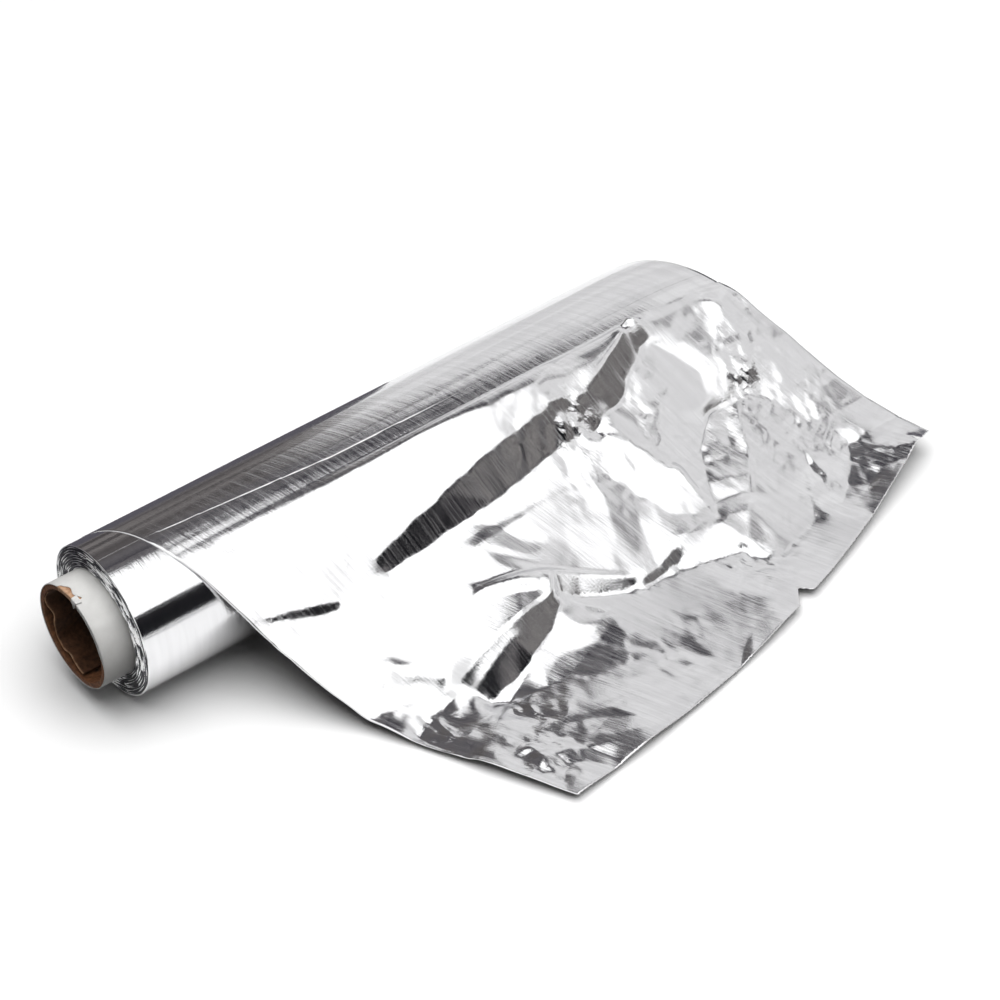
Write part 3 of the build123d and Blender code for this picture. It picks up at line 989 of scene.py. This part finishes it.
def peelPly():
    # the inmost ply, loose at the near rim: its lift, lost again deeper in the bore
    degrees = np.linspace(ply["fromAngle"], ply["toAngle"], 150)[None, :]
    run = np.linspace(0, 1, 30)[:, None]
    ragged = 0.5 * ripple(np.radians(degrees), 17, 14, 8)
    x = core["nearRim"] + ply["inset"] + ragged * (1 - run) ** 4 + ply["depth"] * run
    waver = 0.12 * ripple(np.radians(degrees) + run, 8, 10, 8)
    lift = plyLift(degrees) * (1 - 0.5 * run**2) + waver
    radius = roll["boreRadius"] + 0.3 - np.maximum(lift, 0)
    top = aroundAxis(x, radius, np.radians(degrees) + 0 * x)
    bottom = aroundAxis(x, radius - ply["thickness"], np.radians(degrees) + 0 * x)
    points, faces, rim = closeSheet(top, bottom)
    torn = np.tile((smooth(1 - run * 22) + 0 * x).ravel(), 2)
    return makePiece("innerPly", points, faces, kraftPlyShaded, ["core_inner_ply"],
                     marks={"torn": torn}, flat=rim)


print("core")
makeCore()
makeWrap()
hangScrap()
peelPly()


def card(name, corners, colour, streaks=None, strength=1.0, lights=False):
    # flat lit or dark studio card; only a lamp card reaches matt surfaces
    mesh = bpy.data.meshes.new(name)
    mesh.from_pydata([tuple(millimetre * c for c in corner) for corner in corners], [],
                     [tuple(range(len(corners)))])
    panel = bpy.data.objects.new(name, mesh)
    scene.collection.objects.link(panel)
    surface = Surface(name, colour, 0.0, 1.0)
    surface.tree.nodes.remove(surface.shader)
    glow = surface.add("ShaderNodeEmission", inputs={"Color": (*colour, 1), "Strength": strength})
    if streaks:
        place = surface.add("ShaderNodeTexCoord").outputs["Object"]
        band = surface.noise(surface.mapped(place, studio["streakScale"]), 1.0, 4.0, 0.65)
        surface.tree.links.new(surface.ramp(band, streaks), glow.inputs["Color"])
    output = surface.tree.nodes["Material Output"]
    surface.tree.links.new(glow.outputs["Emission"], output.inputs["Surface"])
    mesh.materials.append(surface.material)
    panel.visible_camera = False
    panel.visible_diffuse = lights
    panel.visible_shadow = False
    return panel


studio = {
    "ceiling": 950.0,
    "backWall": 700.0,
    "frontWall": -1380.0,
    "frontLow": 90.0,
    "frontEdges": [-700.0, 650.0, 760.0, 2600.0],     # x of the sides of the three front flags
    "lowest": 1.0,
    # plan of the cards under the ceiling; the softbox and the flag beside it share an edge
    "sharedEdge": [(170, 200), (250, 70), (290, -80), (430, -150), (560, -240), (620, -457)],
    "softboxRight": [(690, -740), (823, -1109), (900, -1380)],
    "softboxLeft": [(-350, -1380), (-350, 200)],
    "overheadFlag": [(640, -150), (590, 40), (445, 495), (590, 600), (590, 700), (-700, 700),
                     (-700, 200)],
    "greyCard": [(770, -620), (960, -560), (960, -330), (770, -330)],
    # x and height of the flag on the back wall, plan of the low flag, box of the side flag
    "backFlag": [(-700, 1), (300, 1), (335, 487), (400, 673), (560, 950), (-700, 950)],
    "lowFlag": [(-500, 60), (60, 60), (300, 700), (-500, 700)],
    "sideFlag": (1300, 420, 900, 450),
    # room behind the flags: from x and y to x and y, and its height
    "paleRoom": (400, -1600, 2650, 1500, 1400),
    "softbox": 1.45,
    "white": (1, 1, 1),
    "dark": (0.105, 0.10, 0.12),
    "black": (0.008, 0.008, 0.010),
    "streakScale": (0.35, 11.0, 11.0),
    "streakTones": [(0.36, (0.038, 0.035, 0.044)), (0.50, (0.085, 0.08, 0.092)),
                    (0.60, (0.155, 0.147, 0.15)), (0.72, (0.36, 0.345, 0.335))],
    "bandTones": [(0.34, (0.06, 0.057, 0.06)), (0.50, (0.15, 0.14, 0.14)),
                  (0.66, (0.42, 0.40, 0.385))],
    "greyTones": [(0.36, (0.22, 0.215, 0.22)), (0.50, (0.36, 0.35, 0.36)),
                  (0.66, (0.60, 0.59, 0.59))],
    "paleTones": [(0.34, (0.55, 0.545, 0.555)), (0.50, (0.86, 0.855, 0.86)), (0.66, (1, 1, 1))],
    "backTones": [(0.36, (0.055, 0.050, 0.052)), (0.50, (0.12, 0.11, 0.11)),
                  (0.66, (0.32, 0.30, 0.29))],
    "ambient": 0.06,
    "floorReach": 6.0,       # metres
    "floorDrop": 0.0003,
    "floor": 0.99,
    "bounce": 0.09,
    "lampPlace": (0.05, -0.05, 2.0),     # metres
    "lampSize": 2.6,
    "lampWatts": 53.0,
}


def atHeight(plan, height):
    return [(x, y, height) for x, y in plan]


def buildCards():
    # what the foil mirrors: one softbox overhead, dark flags round it, pale walls behind them
    top, back, front = studio["ceiling"], studio["backWall"], studio["frontWall"]
    edge = studio["sharedEdge"]
    dark, black, white = studio["dark"], studio["black"], studio["white"]
    softbox = edge + studio["softboxRight"] + studio["softboxLeft"]
    card("softbox", atHeight(softbox, top), white, None, studio["softbox"], True)
    card("overheadFlag", atHeight(edge + studio["overheadFlag"], top), dark, studio["streakTones"])
    card("backFlag", [(x, back, z) for x, z in studio["backFlag"]], dark, studio["backTones"])
    card("lowFlag", atHeight(studio["lowFlag"], studio["lowest"]), dark)
    x, nearY, farY, z = studio["sideFlag"]
    card("sideFlag", [(x, nearY, 1), (x, farY, 1), (x, farY, z), (x, nearY, z)], dark)
    tones = [("frontFlagLeft", black, None), ("frontFlagMiddle", dark, studio["streakTones"]),
             ("frontFlagRight", dark, studio["bandTones"])]
    low, edges = studio["frontLow"], studio["frontEdges"]
    for (name, colour, streaks), left, right in zip(tones, edges, edges[1:]):
        corners = [(left, front, low), (right, front, low), (right, front, top), (left, front, top)]
        card(name, corners, colour, streaks)
    card("greyCard", atHeight(studio["greyCard"], top), dark, studio["greyTones"])
    x0, y0, x1, y1, z = studio["paleRoom"]
    room = {
        "paleWall": [(x1, y0, 1), (x1, y1, 1), (x1, y1, z), (x1, y0, z)],
        "paleBack": [(x0, y1, 1), (x1, y1, 1), (x1, y1, z), (x0, y1, z)],
        "paleCeiling": [(x0, y0, z), (x1, y0, z), (x1, y1, z), (x0, y1, z)],
    }
    for name, corners in room.items():
        card(name, corners, white, studio["paleTones"])


def layFloor():
    # white paper that stays white to the eye but throws little light back on the foil
    mesh = bpy.data.meshes.new("floor")
    reach = studio["floorReach"]
    mesh.from_pydata([(-reach, -reach, 0), (reach, -reach, 0), (reach, reach, 0), (-reach, reach, 0)],
                     [], [(0, 1, 2, 3)])
    floor = bpy.data.objects.new("floor", mesh)
    scene.collection.objects.link(floor)
    floor.location.z = -studio["floorDrop"]
    paper = Surface("floorPaper", (0.96, 0.96, 0.96), 0.0, 0.9)
    bounced = paper.add("ShaderNodeLightPath").outputs["Diffuse Depth"]
    tones = [(0.0, (studio["floor"],) * 3), (1.0, (studio["bounce"],) * 3)]
    paper.link(paper.ramp(bounced, tones), "Base Color")
    mesh.materials.append(paper.material)


def hangLamp():
    # soft round lamp overhead, which lights the floor and the paper but isn't mirrored
    lamp = bpy.data.lights.new("overheadLamp", "AREA")
    lamp.shape, lamp.size = "DISK", studio["lampSize"]
    lamp.energy = studio["lampWatts"]
    lampObject = bpy.data.objects.new("overheadLamp", lamp)
    lampObject.location = studio["lampPlace"]
    lampObject.visible_glossy = False
    lampObject.visible_camera = False
    scene.collection.objects.link(lampObject)


def lightWorld():
    # white where it is seen, mirrored or seen through glass straight away, dim for the rest:
    # the greatest of those rays times (diffuse depth below 0.5) runs from ambient to 1
    world = bpy.data.worlds.new("studio")
    scene.world = world
    world.use_nodes = True
    nodes, links = world.node_tree.nodes, world.node_tree.links

    def joined(operation, first, second):
        node = nodes.new("ShaderNodeMath")
        node.operation = operation
        for value, socket in zip((first, second), node.inputs):
            if isinstance(value, float):
                socket.default_value = value
            else:
                links.new(value, socket)
        return node.outputs[0]

    background = nodes["Background"]
    background.inputs["Color"].default_value = (1, 1, 1, 1)
    path = nodes.new("ShaderNodeLightPath").outputs
    either = joined("MAXIMUM", path["Is Camera Ray"], path["Is Glossy Ray"])
    seen = joined("MAXIMUM", either, path["Is Transmission Ray"])
    plain = joined("MULTIPLY", seen, joined("LESS_THAN", path["Diffuse Depth"], 0.5))
    level = nodes.new("ShaderNodeMapRange")
    level.inputs["To Min"].default_value = studio["ambient"]
    level.inputs["To Max"].default_value = 1.0
    links.new(plain, level.inputs["Value"])
    links.new(level.outputs["Result"], background.inputs["Strength"])


print("studio")
buildCards()
layFloor()
hangLamp()
lightWorld()

view = {
    "place": (-772.8, -1106.3, 1322.6),
    "turn": math.radians(52.536),
    "down": math.radians(43.910),
    "lens": 144.0,
    "sensor": 36.0,
}
camera = bpy.data.cameras.new("camera")
camera.lens = view["lens"]
camera.sensor_width = view["sensor"]
camera.sensor_fit = "HORIZONTAL"
camera.clip_start, camera.clip_end = 0.05, 50
cameraObject = bpy.data.objects.new("camera", camera)
cameraObject.location = [millimetre * c for c in view["place"]]
aim = Vector((math.cos(view["down"]) * math.cos(view["turn"]),
              math.cos(view["down"]) * math.sin(view["turn"]), -math.sin(view["down"])))
cameraObject.rotation_euler = aim.to_track_quat("-Z", "Y").to_euler()
scene.collection.objects.link(cameraObject)
scene.camera = cameraObject
